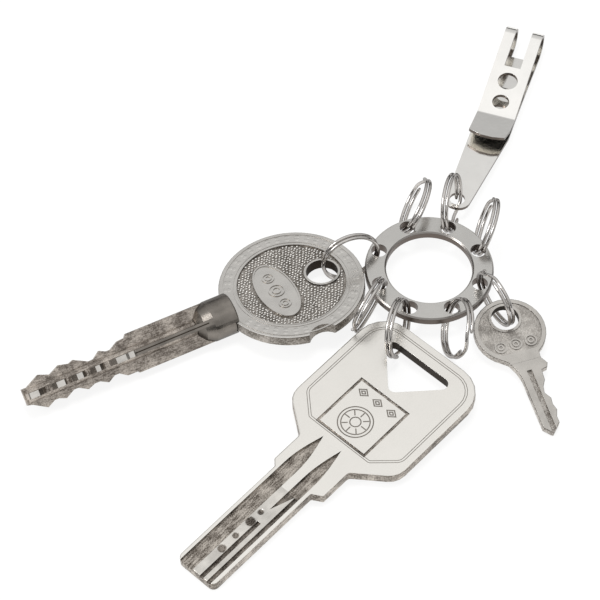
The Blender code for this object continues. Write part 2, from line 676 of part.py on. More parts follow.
def small_outline():
    """Edge of the small key: round head, stop, cut edge, tip and straight back."""
    radius = SMALL_HEAD / 2
    head = arc(Vector((0.0, 0.0)), radius, radians(32.0), radians(328.0), 26)
    reach = SMALL_BITS_START - SMALL_STOP[0]
    back = [
        (SMALL_STOP[0] - reach, SMALL_BACK - SMALL_BACK_SHOULDER),
        (SMALL_STOP[0], SMALL_BACK - SMALL_BACK_SHOULDER / 3), (SMALL_BITS_START, SMALL_BACK),
        (SMALL_TIP - SMALL_TIP_BEVEL[0], SMALL_BACK),
        (SMALL_TIP - SMALL_TIP_BEVEL[0] / 6, SMALL_BACK + SMALL_TIP_BEVEL[1]),
        (SMALL_TIP, SMALL_BACK + SMALL_TIP_BEVEL[0]),
    ]
    cuts = []
    for k, height in enumerate(SMALL_BITS):
        cuts.append((SMALL_BITS_START + k * SMALL_BIT_PITCH, height * MM))
    stop = [
        (SMALL_STOP[0] + SMALL_STOP_WIDTH * 0.8, SMALL_STOP[1] - 2 * SMALL_STOP_DROP),
        (SMALL_STOP[0] + SMALL_STOP_WIDTH * 0.6, SMALL_STOP[1] - SMALL_STOP_DROP / 2),
        SMALL_STOP, (SMALL_STOP[0] - SMALL_STOP_WIDTH, SMALL_STOP[1] - SMALL_STOP_DROP),
    ]
    return [*head, *back, *cuts[::-1], *stop]


def build_small_key():
    """Small flat key with a sunk head field and a groove along its blade."""
    spot = (SMALL_HANG[0] - SMALL_HOLE_AT, SMALL_HANG[1])
    empty, place = hang("small_key", spot)
    half = SMALL_THICKNESS / 2
    mesh = prism("small_key", small_outline(), -half, half, SMALL_EDGE)
    key = piece("small_key", mesh, "small_nickel", empty, place)
    hole = circle(-SMALL_HOLE_AT, 0.0, SMALL_HOLE / 2, HOLE_STEPS)
    reshape(key, prism("hole", hole, -2 * half, 2 * half))
    radius = SMALL_HEAD / 2 - SMALL_RIM
    field = arc(Vector((0.0, 0.0)), radius, radians(35.0), radians(325.0), 24)
    eyelet = circle(-SMALL_HOLE_AT, 0.0, SMALL_HOLE / 2 + SMALL_EYELET, HOLE_STEPS)
    reshape(key, prism("field", field, half - SMALL_FIELD_DEPTH, 2 * half, inner=[eyelet]))
    start, middle, width, depth = SMALL_GROOVE
    groove = box_outline(start, SMALL_TIP + half, middle - width / 2, middle + width / 2)
    reshape(key, prism("groove", groove, half - depth, 2 * half))


build_plate()
build_rings()
build_clip()
build_dimple_key()
build_cross_key()
build_small_key()
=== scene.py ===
"""The keyring set dressed for its picture: bright plated wire, brushed steel and cast, worn key metal."""

from math import atan2, cos, hypot, pi, radians, sin, tan

import bmesh
import bpy
from mathutils import Matrix, Vector


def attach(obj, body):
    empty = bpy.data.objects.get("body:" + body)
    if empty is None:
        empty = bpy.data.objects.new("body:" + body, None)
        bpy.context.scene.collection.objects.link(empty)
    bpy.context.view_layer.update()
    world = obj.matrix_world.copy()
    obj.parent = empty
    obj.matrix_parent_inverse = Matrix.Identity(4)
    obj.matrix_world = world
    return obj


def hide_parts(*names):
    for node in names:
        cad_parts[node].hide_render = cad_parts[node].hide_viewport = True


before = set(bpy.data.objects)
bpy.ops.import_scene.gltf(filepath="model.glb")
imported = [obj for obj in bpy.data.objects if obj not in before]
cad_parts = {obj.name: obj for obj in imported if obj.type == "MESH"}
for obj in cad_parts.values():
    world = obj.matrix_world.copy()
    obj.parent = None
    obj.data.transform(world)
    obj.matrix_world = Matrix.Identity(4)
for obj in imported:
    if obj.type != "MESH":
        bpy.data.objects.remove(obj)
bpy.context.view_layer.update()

MM = 0.001

# Sizes repeated from the solid model
PLATE_MIDDLE = Vector((28.88, 2.63, 5.155)) * MM
HOLE_CIRCLE = 11.7 * MM
HOLE_FIRST_ANGLE = 22.5
HOLE_STEP_ANGLE = 45.0
RING_RADIUS = 6.3 * MM
TURNS = 2

# Split rings as they are seen: wire a little thicker than the solid's, with its turns closer together
WIRE = 0.76 * MM
TURN_PITCH = 0.93 * MM
CROSSING = 0.055
WIRE_ROUNDNESS = 6
WIRE_STEPS = 72
END_SHARE = 0.6
END_TAPER = 0.5 * MM

# Hole number, heading, lift, roll and place of the cut ends in degrees, and the shift in the hole in
# millimetres. All are the solid model's, but for the seventh ring's cut ends, which clear the flat key here.
RINGS = {
    "split_ring_1": (2, 74.0, 8.0, 23.4, 180, (0.13, -0.09, 0.35)),
    "split_ring_2": (1, 80.0, 27.3, -10.5, 90, (-0.14, -0.11, 0.04)),
    "split_ring_3": (0, 74.0, 18.5, 17.4, 180, (0.25, 0.04, 0.15)),
    "split_ring_4": (7, 297.8, 23.7, 5.8, 270, (0.38, 0.26, -0.22)),
    "split_ring_5": (6, 280.5, 9.1, -22.3, 195, (-0.13, 0.66, 0.13)),
    "split_ring_6": (5, 248.8, 16.9, 10.3, 90, (-0.57, -0.24, -0.11)),
    "split_ring_7": (4, 243.4, 10.9, -10.1, 162, (0.25, -0.39, 0.22)),
    "split_ring_8": (3, 198.9, 9.1, 5.8, 90, (-0.39, -0.15, 0.48)),
}

# Ring, angle round it from the plate's hole, heading, rise and roll, and the spot in millimetres that
# hangs there
HANGS = {
    "suspension_clip": ("split_ring_2", 108.0, 72.0, -1.9, 0.0, (-0.05, 1.55)),
    "small_key": ("split_ring_4", 117.0, 288.0, -5.2, 0.0, (-1.85, 0.35)),
    "dimple_key": ("split_ring_6", 130.0, 227.1, -1.94, 0.0, (-13.65, -5.85)),
    "cross_key": ("split_ring_8", 151.0, 207.0, 0.0, 8.5, (-8.51, -0.75)),
}


def linear(hex_colour):
    """An sRGB hex colour as the linear values that a shader reads."""
    values = []
    for k in (1, 3, 5):
        value = int(hex_colour[k:k + 2], 16) / 255
        values.append(value / 12.92 if value <= 0.04045 else ((value + 0.055) / 1.055) ** 2.4)
    return (*values, 1.0)


def add(tree, kind, values=None, links=None, **settings):
    """A node with its settings, its sockets' values and what feeds them."""
    node = tree.nodes.new(kind)
    for name, value in settings.items():
        setattr(node, name, value)
    for name, value in (values or {}).items():
        node.inputs[name].default_value = value
    for name, source in (links or {}).items():
        tree.links.new(source, node.inputs[name])
    return node


def ramp(tree, source, stops):
    """A colour ramp fed by a value, from (place, colour) stops."""
    node = add(tree, "ShaderNodeValToRGB", links={0: source})
    points = node.color_ramp.elements
    points[0].position, points[0].color = stops[0]
    points[1].position, points[1].color = stops[-1]
    for place, colour in stops[1:-1]:
        points.new(place).color = colour
    return node


def grey(value):
    """A neutral ramp colour."""
    return (value, value, value, 1.0)


def tilted(heading, rise, roll):
    """Turn that lays x along the heading and up the rise, with y to its left, rolled up."""
    turn = Matrix.Rotation(radians(heading), 4, "Z")
    climb = Matrix.Rotation(-radians(rise), 4, "Y")
    return turn @ climb @ Matrix.Rotation(radians(roll), 4, "X")


def ring_place(name):
    """Frame of a ring: origin in its hole of the plate, x towards the ring's middle, z up the ring."""
    number, heading, lift, roll, _, shift = RINGS[name]
    angle = radians(HOLE_FIRST_ANGLE + HOLE_STEP_ANGLE * number)
    seat = PLATE_MIDDLE + Vector((cos(angle), sin(angle), 0.0)) * HOLE_CIRCLE + Vector(shift) * MM
    return Matrix.Translation(seat) @ tilted(heading, lift, roll)


def wire_point(angle, side=0.0):
    """Point of a ring in its own frame, an angle on from the plate's hole."""
    return Vector((RING_RADIUS * (1 - cos(angle)), side, -RING_RADIUS * sin(angle)))


def hang_place(name):
    """Frame of a hung piece: the one its outline was drawn in, in metres."""
    ring, angle, heading, rise, roll, spot = HANGS[name]
    point = ring_place(ring) @ wire_point(radians(angle))
    back = Matrix.Translation((-spot[0] * MM, -spot[1] * MM, 0.0))
    return Matrix.Translation(point) @ tilted(heading, rise, roll) @ back


PLACES = {name: hang_place(name) for name in HANGS}
PLACES["ring_plate"] = Matrix.Translation(PLATE_MIDDLE)


# Metals

# Patches, specks and brushing, with the scales per millimetre
CLOUD_SCALE = 0.3
SPECK_SCALE = 4.0
STAIN_FROM = 0.35
STAIN_TO = 0.65
POLISH_FROM = 0.3
POLISH_TO = 0.7

# Darker colour in what is cut or cast low, and the painted wall shade: the low colour's wavy edge in
# millimetres, its streaks, and how far both dull the metal
LOW_TONE_WAVE = 0.3
LOW_TONE_BLUR = 0.04
LOW_TONE_STREAKS = 0.45
LOW_TONE_PATCHES = 0.3
LOW_TONE_FROM = 0.43
LOW_TONE_TO = 0.57
SHADE_AND_LOW_DULLING = 0.16
SHADE_AND_LOW_RELIEF = 1.5

# Painted shade at the edges of round wire, darkest where it turns away from the view
RIM_SHADE_BLEND = 0.35
RIM_SHADE_FROM = 0.25
RIM_SHADE_TO = 0.75

# Height of the fine relief
BRUSH_SHARE = 0.5
BUMP_STRENGTH = 0.3
BUMP_DEPTH = 0.05 * MM


def metal(name, face, wall_shade, roughness, place, grain, facing=(0.55, 0.9), blotch=0.1, pits=0.0, sunk=None,
          rim=None):
    """Plated or brushed metal.

    face colours its broad faces and the wall colour its sheared edges, told apart by how far they face
    up in the frame of place; the darker wall colour is painted shade, and on the wire, blade and collar
    the face colour on what faces up is a painted highlight too. grain is the width and the length in
    millimetres of its brushing. sunk gives a height in millimetres and two colours, streaked and
    patchy, for what lies below it, and rim the painted shade that a round wire turns to at its edges
    as seen.
    """
    material = bpy.data.materials.new(name)
    material.use_nodes = True
    tree = material.node_tree
    shader = tree.nodes["Principled BSDF"]
    shader.inputs["Metallic"].default_value = 1.0
    inverse = place.inverted()
    turn = inverse.to_euler()
    where = add(tree, "ShaderNodeTexCoord")
    local = add(tree, "ShaderNodeMapping", {"Rotation": turn, "Location": inverse.translation},
                {"Vector": where.outputs["Object"]})
    in_mm = add(tree, "ShaderNodeVectorMath", {1: (1000.0, 1000.0, 1000.0)}, {0: local.outputs[0]},
                operation="MULTIPLY")
    stretched = add(tree, "ShaderNodeVectorMath", {1: (1 / grain[1], 1 / grain[0], 1 / grain[0])},
                    {0: in_mm.outputs[0]}, operation="MULTIPLY")
    brushed = add(tree, "ShaderNodeTexNoise", {"Scale": 1.0, "Detail": 3.0, "Roughness": 0.6},
                  {"Vector": stretched.outputs[0]})
    cloud = add(tree, "ShaderNodeTexNoise", {"Scale": CLOUD_SCALE, "Detail": 4.0, "Roughness": 0.55},
                {"Vector": in_mm.outputs[0]})
    speck = add(tree, "ShaderNodeTexNoise", {"Scale": SPECK_SCALE, "Detail": 3.0, "Roughness": 0.6},
                {"Vector": in_mm.outputs[0]})
    surface = add(tree, "ShaderNodeNewGeometry")
    own = add(tree, "ShaderNodeVectorTransform", links={"Vector": surface.outputs["Normal"]},
              vector_type="NORMAL", convert_from="WORLD", convert_to="OBJECT")
    turned = add(tree, "ShaderNodeMapping", {"Rotation": turn}, {"Vector": own.outputs[0]},
                 vector_type="NORMAL")
    parts = add(tree, "ShaderNodeSeparateXYZ", links={0: turned.outputs[0]})
    height = add(tree, "ShaderNodeMath", links={0: parts.outputs[2]}, operation="ABSOLUTE")
    # Painted shade: faces turned away from up in the frame of place take the darker wall colour
    side = add(tree, "ShaderNodeMapRange", {1: facing[0], 2: facing[1], 3: 1.0, 4: 0.0},
               {0: height.outputs[0]})
    tone = add(tree, "ShaderNodeMix", {6: linear(face), 7: linear(wall_shade)}, {0: side.outputs[0]},
               data_type="RGBA")
    # The painted wall shade, and the low colour below the sunk height, are dulled and given relief
    shade_and_low_mask = side
    if sunk:
        spot = add(tree, "ShaderNodeSeparateXYZ", links={0: in_mm.outputs[0]})
        level, dark, pale = sunk
        wavy = add(tree, "ShaderNodeMath", {1: LOW_TONE_WAVE, 2: level - LOW_TONE_WAVE / 2}, {0: speck.outputs[0]},
                   operation="MULTIPLY_ADD")
        below = add(tree, "ShaderNodeMath", links={0: wavy.outputs[0], 1: spot.outputs[2]},
                    operation="SUBTRACT")
        low = add(tree, "ShaderNodeMapRange", {1: -LOW_TONE_BLUR, 2: LOW_TONE_BLUR}, {0: below.outputs[0]})
        streaks = add(tree, "ShaderNodeMix", {0: LOW_TONE_STREAKS}, {2: speck.outputs[0], 3: brushed.outputs[0]})
        patches = add(tree, "ShaderNodeMix", {0: LOW_TONE_PATCHES}, {2: streaks.outputs[0], 3: cloud.outputs[0]})
        low_tone = ramp(tree, patches.outputs[0], [(LOW_TONE_FROM, linear(dark)), (LOW_TONE_TO, linear(pale))])
        tone = add(tree, "ShaderNodeMix", links={0: low.outputs[0], 6: tone.outputs[2], 7: low_tone.outputs[0]},
                   data_type="RGBA")
        shade_and_low_mask = add(tree, "ShaderNodeMath", links={0: side.outputs[0], 1: low.outputs[0]},
                    operation="MAXIMUM")
    # Painted shade: a round wire is coloured darker towards its edges as seen
    if rim:
        edge = add(tree, "ShaderNodeLayerWeight", {"Blend": RIM_SHADE_BLEND})
        rim_shade_share = add(tree, "ShaderNodeMapRange", {1: RIM_SHADE_FROM, 2: RIM_SHADE_TO}, {0: edge.outputs["Facing"]})
        tone = add(tree, "ShaderNodeMix", {7: linear(rim)}, {0: rim_shade_share.outputs[0], 6: tone.outputs[2]},
                   data_type="RGBA")
    stain = ramp(tree, cloud.outputs[0], [(STAIN_FROM, grey(1.0 - blotch)), (STAIN_TO, grey(1.0))])
    stained = add(tree, "ShaderNodeMix", {0: 1.0}, {6: tone.outputs[2], 7: stain.outputs[0]},
                  data_type="RGBA", blend_type="MULTIPLY")
    tree.links.new(stained.outputs[2], shader.inputs["Base Color"])
    spread = {1: POLISH_FROM, 2: POLISH_TO, 3: roughness * (1 - blotch), 4: roughness * (1 + blotch)}
    polish = add(tree, "ShaderNodeMapRange", spread, {0: cloud.outputs[0]})
    dulled = add(tree, "ShaderNodeMath", {1: SHADE_AND_LOW_DULLING}, {0: shade_and_low_mask.outputs[0], 2: polish.outputs[0]},
                 operation="MULTIPLY_ADD")
    tree.links.new(dulled.outputs[0], shader.inputs["Roughness"])
    mixed = add(tree, "ShaderNodeMath", {1: BRUSH_SHARE}, {0: brushed.outputs[0]}, operation="MULTIPLY")
    deep = add(tree, "ShaderNodeMath", {1: SHADE_AND_LOW_RELIEF if sunk else 0.0, 2: pits}, {0: shade_and_low_mask.outputs[0]},
               operation="MULTIPLY_ADD")
    relief = add(tree, "ShaderNodeMath",
                 links={0: speck.outputs[0], 1: deep.outputs[0], 2: mixed.outputs[0]},
                 operation="MULTIPLY_ADD")
    bump = add(tree, "ShaderNodeBump", {"Strength": BUMP_STRENGTH, "Distance": BUMP_DEPTH},
               {"Height": relief.outputs[0]})
    tree.links.new(bump.outputs[0], shader.inputs["Normal"])
    return material


LEVEL = PLACES["ring_plate"]
UPPER_WING = PLACES["cross_key"] @ Matrix.Rotation(-pi / 4, 4, "X")
# Bright nickel on a pressed plate: even satin faces, dull sheared edges painted dark as shade
PLATE_METAL = metal("bright_nickel_pressed_plate", "#C8C6C2", "#6A615B", 0.2, LEVEL, (0.2, 3.0), blotch=0.05)
# Bright nickel on drawn spring wire: a painted highlight streak along the top of the wire, painted shade
# at its edges
WIRE_METAL = metal("bright_nickel_drawn_wire", "#D0CCC8", "#C2BDB8", 0.17, LEVEL, (0.3, 1.2), (0.0, 0.3), 0.2,
                   rim="#4A423D")
# Cold rolled spring steel, tumbled bright: near mirror, with a faint lengthwise grain, its sheared edges
# painted dark as shade
STRIP_METAL = metal("rolled_spring_steel", "#F1EFEB", "#6A625C", 0.1, PLACES["suspension_clip"], (0.25, 6.0),
                    (0.3, 0.7), 0.04)
# Satin nickel over pressed brass: pale even head, its walls painted near black as shade, and a streaky
# brown colour low in the milled flutes
PALE_METAL = metal("satin_nickel_pale_key", "#E9E6E0", "#39332D", 0.26, PLACES["dimple_key"], (0.35, 3.0),
                   blotch=0.02, sunk=(1.2, "#574F47", "#CDC5BB"))
# Middle land of the same key's blade: scratched and greyed by use, its dimples brown inside, its walls
# painted near black as shade
LAND_METAL = metal("scratched_land_of_pale_key", "#E3DFD8", "#39332D", 0.32, PLACES["dimple_key"], (0.3, 1.2),
                   blotch=0.3, pits=1.5, sunk=(1.2, "#4A433C", "#A39B92"))
# Cast and plated bow: grey and slightly rough, dark between its raised pebbles, its walls painted darker
# as shade
BOW_METAL = metal("cast_plated_bow", "#DAD7D2", "#8F8A84", 0.27, PLACES["cross_key"], (0.3, 0.8), blotch=0.1,
                  pits=0.5, sunk=(1.03, "#6E6860", "#C0BAB3"))
# Tops of the cast pebbles, rubbed bright, their sides painted darker as shade
PEBBLE_METAL = metal("cast_pebbles_rubbed_bright", "#E4E1DC", "#8A847E", 0.42, PLACES["cross_key"],
                     (0.3, 0.8), (0.3, 0.8))
# Milled blade, in a frame turned to the wing that looks up: the lands facing up painted bright as a
# highlight, the rest painted the darker grey-brown of cutter marks and of shade
BLADE_METAL = metal("milled_blade", "#E4E0DA", "#6F6861", 0.26, UPPER_WING, (0.3, 1.2), (0.8, 0.95), 0.25,
                    pits=0.8, sunk=(3.35, "#7C736B", "#CFC6BC"))
# Turned and plated collar: smooth and patchily stained, its sides turned from up painted darker as shade
COLLAR_METAL = metal("turned_plated_collar", "#8F8982", "#57514B", 0.3, UPPER_WING, (0.9, 0.15),
                     (0.2, 0.7), 0.3)
# Worn nickel on a small key: grey with a faint warm cast, scratched and pitted, its walls painted dark
# as shade
SMALL_METAL = metal("worn_nickel_small_key", "#C5C1BB", "#514943", 0.27, PLACES["small_key"], (0.25, 0.5),
                    blotch=0.2, pits=1.0, sunk=(0.72, "#857E77", "#D9D4CD"))
# Painted shade of an engraved line, standing in for its groove: dark and dull
PAINTED_LINE_SHADE = metal("painted_shade_of_engraved_lines", "#8F8982", "#7A736C", 0.45, LEVEL, (0.3, 0.5), blotch=0.3)
# Painted shade on the walls of the keys' holes: dark brown
PAINTED_HOLE_SHADE = metal("painted_shade_in_key_holes", "#4A433C", "#3A332C", 0.4, LEVEL, (0.3, 0.5), blotch=0.3)


# Shapes

WELD = 0.002 * MM
WIRE_WELD = 0.001 * MM
FLAT_ANGLE = 0.3
ENGRAVED = 0.1 * MM
STEEP = 0.5


def finished(name, shape, body, finish, nodes=(), place=None, smooth=35.0):
    """A finished piece: its mesh in place, its metal on, riding on its body."""
    if place:
        shape.transform(place)
    mesh = bpy.data.meshes.new(name)
    shape.to_mesh(mesh)
    shape.free()
    mesh.shade_smooth()
    mesh.set_sharp_from_angle(angle=radians(smooth))
    mesh.materials.append(finish)
    item = bpy.data.objects.new(name, mesh)
    bpy.context.scene.collection.objects.link(item)
    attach(item, body)
    if nodes:
        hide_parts(*nodes)
    return item


def copied(node):
    """The solid's own shape with its corners welded and its flat faces made whole."""
    shape = bmesh.new()
    shape.from_mesh(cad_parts[node].data)
    bmesh.ops.remove_doubles(shape, verts=shape.verts, dist=WELD)
    bmesh.ops.dissolve_limit(shape, angle_limit=radians(FLAT_ANGLE), verts=shape.verts, edges=shape.edges)
    return shape


def refinished(item, place, finish, chosen):
    """Another finish on the faces whose middle and outward direction in the piece's own frame are chosen."""
    item.data.materials.append(finish)
    inverse = place.inverted()
    for face in item.data.polygons:
        if chosen(inverse @ face.center / MM, inverse.to_3x3() @ face.normal):
            face.material_index = len(item.data.materials) - 1


def softened(item, width, segments=2, angle=30.0):
    """Worn edges on a finished piece, with its flat faces kept flat to the light."""
    step = item.modifiers.new("worn_edges", "BEVEL")
    step.width = width
    step.segments = segments
    step.limit_method = "ANGLE"
    step.angle_limit = radians(angle)
    even = item.modifiers.new("even_faces", "WEIGHTED_NORMAL")
    even.keep_sharp = True


def ring_line(shape, outline, width, low, high):
    """A line of the given width just inside a closed outline of (x, y) points, from one height to another."""
    corners = [shape.verts.new((x, y, low)) for x, y in outline]
    face = shape.faces.new(corners)
    face.normal_update()
    band = bmesh.ops.inset_region(shape, faces=[face], thickness=width, use_boundary=True,
                                   use_even_offset=True)["faces"]
    bmesh.ops.delete(shape, geom=[face], context="FACES_ONLY")
    raised = bmesh.ops.extrude_face_region(shape, geom=band)["geom"]
    top = [item for item in raised if isinstance(item, bmesh.types.BMVert)]
    bmesh.ops.translate(shape, verts=top, vec=(0.0, 0.0, high - low))
    bmesh.ops.recalc_face_normals(shape, faces=shape.faces)


def bar(shape, x, y, length, width, turn, low, high):
    """A small upright block, its length turned from x by an angle."""
    place = Matrix.Translation((x, y, (low + high) / 2)) @ Matrix.Rotation(turn, 4, "Z")
    bmesh.ops.create_cube(shape, size=1.0, matrix=place @ Matrix.Diagonal((length, width, high - low, 1.0)))


def bead(shape, x, y, long, wide, turn, level, rise):
    """A low round-topped bead on a face."""
    place = Matrix.Translation((x, y, level)) @ Matrix.Rotation(turn, 4, "Z")
    form = place @ Matrix.Diagonal((long, wide, rise, 1.0))
    bmesh.ops.create_icosphere(shape, subdivisions=2, radius=1.0, matrix=form)


def oval(x, y, long, wide, steps=64):
    """Points round an oval."""
    return [(x + long * cos(2 * pi * k / steps), y + wide * sin(2 * pi * k / steps)) for k in range(steps)]


def arc(centre, radius, first, last, steps):
    """Points round a centre between two angles."""
    angles = [first + (last - first) * k / steps for k in range(steps + 1)]
    return [centre + Vector((cos(angle), sin(angle))) * radius for angle in angles]


def rounded(corners, steps=6):
    """A closed outline through (x, y, rounding) corners."""
    outline = []
    for k, (x, y, radius) in enumerate(corners):
        here = Vector((x, y))
        back = (Vector(corners[k - 1][:2]) - here).normalized()
        ahead = (Vector(corners[(k + 1) % len(corners)][:2]) - here).normalized()
        half = back.angle(ahead) / 2
        centre = here + (back + ahead).normalized() * radius / sin(half)
        first = here + back * radius / tan(half) - centre
        last = here + ahead * radius / tan(half) - centre
        start = atan2(first.y, first.x)
        sweep = (atan2(last.y, last.x) - start + pi) % (2 * pi) - pi
        outline += [tuple(point) for point in arc(centre, radius, start, start + sweep, steps)]
    return outline


def swept(name, points, thickness):
    """Round wire along (point, share of its thickness) pairs, with flat ends, as a loose mesh."""
    curve = bpy.data.curves.new(name, "CURVE")
    curve.dimensions = "3D"
    curve.bevel_depth = thickness / 2
    curve.bevel_resolution = WIRE_ROUNDNESS
    curve.use_fill_caps = True
    line = curve.splines.new("POLY")
    line.points.add(len(points) - 1)
    for slot, (point, share) in zip(line.points, points):
        slot.co = (*point, 1.0)
        slot.radius = share
    source = bpy.data.objects.new(name, curve)
    bpy.context.scene.collection.objects.link(source)
    graph = bpy.context.evaluated_depsgraph_get()
    mesh = bpy.data.meshes.new_from_object(source.evaluated_get(graph))
    shape = bmesh.new()
    shape.from_mesh(mesh)
    bpy.data.objects.remove(source)
    bpy.data.curves.remove(curve)
    bpy.data.meshes.remove(mesh)
    bmesh.ops.remove_doubles(shape, verts=shape.verts, dist=WIRE_WELD)
    bmesh.ops.recalc_face_normals(shape, faces=shape.faces)
    return shape


def split_ring(name):
    """Two flat turns of round wire that cross over between their tapered cut ends."""
    start = radians(RINGS[name][4])
    count = round((TURNS - 2 * CROSSING) * WIRE_STEPS)
    points = []
    for k in range(count + 1):
        turn = k / WIRE_STEPS + CROSSING
        crossed = min(1.0, max(0.0, (turn - 1.0) / (2 * CROSSING) + 0.5))
        side = TURN_PITCH * (0.5 - crossed * crossed * (3 - 2 * crossed))
        from_end = min(k, count - k) / WIRE_STEPS * 2 * pi * RING_RADIUS
        share = min(1.0, END_SHARE + (1.0 - END_SHARE) * from_end / END_TAPER)
        points.append((wire_point(start + 2 * pi * turn, side), share))
    shape = swept(name + "_line", points, WIRE)
    finished(name + "_wire", shape, name, WIRE_METAL, [name], ring_place(name), 50.0)


def build_plate():
    """Pressed plate with its edges broken."""
    plate = finished("ring_plate_pressed", copied("ring_plate"), "ring_plate", PLATE_METAL,
                     ["ring_plate"])
    softened(plate, 0.12 * MM)


def build_clip():
    """Folded strip with its sheared edges broken."""
    clip = finished("clip_strip", copied("suspension_clip"), "suspension_clip", STRIP_METAL,
                    ["suspension_clip"], smooth=32.0)
    softened(clip, 0.07 * MM, angle=40.0)


# Flat key with drilled dimples, in millimetres from the middle of the square on its head
LAND_START = 26.0
LAND_SIDES = (-1.5, 3.0)
EYE_ENDS = (-17.5, -4.5)
EYE_HALF = 10.5
DIMPLE_TOP = 1.3 * MM
ENGRAVED_RISE = 0.012 * MM
ENGRAVED_LINE = 0.26 * MM
PANEL_LINE = 0.14 * MM
PANEL_INSETS = (0.0, 0.5)
PANEL_SLANT = 0.41
WHEEL_AT = (4.3 * MM, -0.3 * MM)
WHEEL_RINGS = (3.9, 3.2, 1.3)
SPOKES = 8
SPOKE_AT = 2.25 * MM
SPOKE_LENGTH = 1.3 * MM
DIAMOND_AT = -2.25 * MM
DIAMOND_PITCH = 3.9
DIAMOND_RADII = (1.45, 0.75)
DIAMOND_SHAPE = 0.8


def build_dimple_key():
    """Pale key: a double panel line round its head, and a wheel and three diamonds engraved on it."""
    place = PLACES["dimple_key"]
    shape = copied("dimple_key")
    bmesh.ops.bisect_plane(shape, geom=shape.verts[:] + shape.edges[:] + shape.faces[:],
                           plane_co=place @ Vector((LAND_START * MM, 0.0, 0.0)),
                           plane_no=place.to_3x3() @ Vector((1.0, 0.0, 0.0)))
    key = finished("dimple_key_body", shape, "dimple_key", PALE_METAL, ["dimple_key"])

    def in_eye(spot, way):
        return EYE_ENDS[0] < spot.x < EYE_ENDS[1] and abs(spot.y) < EYE_HALF and abs(way.z) < STEEP

    def on_land(spot, way):
        return spot.x > LAND_START and LAND_SIDES[0] < spot.y < LAND_SIDES[1] and way.z > STEEP

    # Painted shade on the walls of the eye
    refinished(key, place, PAINTED_HOLE_SHADE, in_eye)
    refinished(key, place, LAND_METAL, on_land)
    softened(key, 0.06 * MM)
    low = DIMPLE_TOP - ENGRAVED
    high = DIMPLE_TOP + ENGRAVED_RISE
    shape = bmesh.new()
    for inset in PANEL_INSETS:
        half = [(-19.0 + inset, 13.5 - inset, 5.4 - inset),
                (5.2 - PANEL_SLANT * inset, 13.5 - inset, 2.6 - inset),
                (9.9 - inset, 8.4 - PANEL_SLANT * inset, 1.2 - inset)]
        panel = [(x * MM, y * MM, r * MM) for x, y, r in half]
        panel += [(x, -y, r) for x, y, r in reversed(panel)]
        ring_line(shape, rounded(panel), PANEL_LINE, low, high)
    for radius in WHEEL_RINGS:
        ring_line(shape, oval(*WHEEL_AT, radius * MM, radius * MM), ENGRAVED_LINE, low, high)
    for k in range(SPOKES):
        angle = 2 * pi * k / SPOKES
        x = WHEEL_AT[0] + SPOKE_AT * cos(angle)
        y = WHEEL_AT[1] + SPOKE_AT * sin(angle)
        bar(shape, x, y, SPOKE_LENGTH, ENGRAVED_LINE, angle, low, high)
    for k in (-1, 0, 1):
        for radius in DIAMOND_RADII:
            around = oval(DIAMOND_AT, k * DIAMOND_PITCH * MM, radius * DIAMOND_SHAPE * MM, radius * MM, 4)
            ring_line(shape, around, ENGRAVED_LINE, low, high)
    # The engraved lines are flush lines in painted shade, standing in for the shade in their grooves
    finished("dimple_key_engraving_shade", shape, "dimple_key", PAINTED_LINE_SHADE, place=place)


# Round bow, in millimetres from its middle
BOW_TOP = 1.25 * MM
BOW_FIELD = 0.95 * MM
BOW_HOLE_AT = 7.4
BOW_HOLE_REACH = 3.8
EYELET_RADIUS = 4.3
OVAL_AT = (3.7, 0.2)
OVAL_CLEAR = (4.6, 8.8)
OVAL_LINE = (4.15, 8.35)
PEBBLE_ROWS = 19
PEBBLE_PITCH = (0.74, 0.64)
PEBBLE_SCATTER = 0.13
PEBBLE_SIZE = (0.37, 0.32, 0.25)
PEBBLED_RADIUS = 11.6
RIM_LINES = ((15.2, 0.3), (12.75, 0.16), (12.1, 0.2))
OVAL_RINGS = ((1.4, -4.2), (1.8, 0.0), (1.4, 4.2))
BEADS_ROUND = 40
BEAD_CIRCLES = (13.55, 14.35)
BEAD_SIZE = (0.45, 0.62, 0.035)
BEADLESS_NOTCH = 0.22
BEADLESS_COLLAR = 0.34


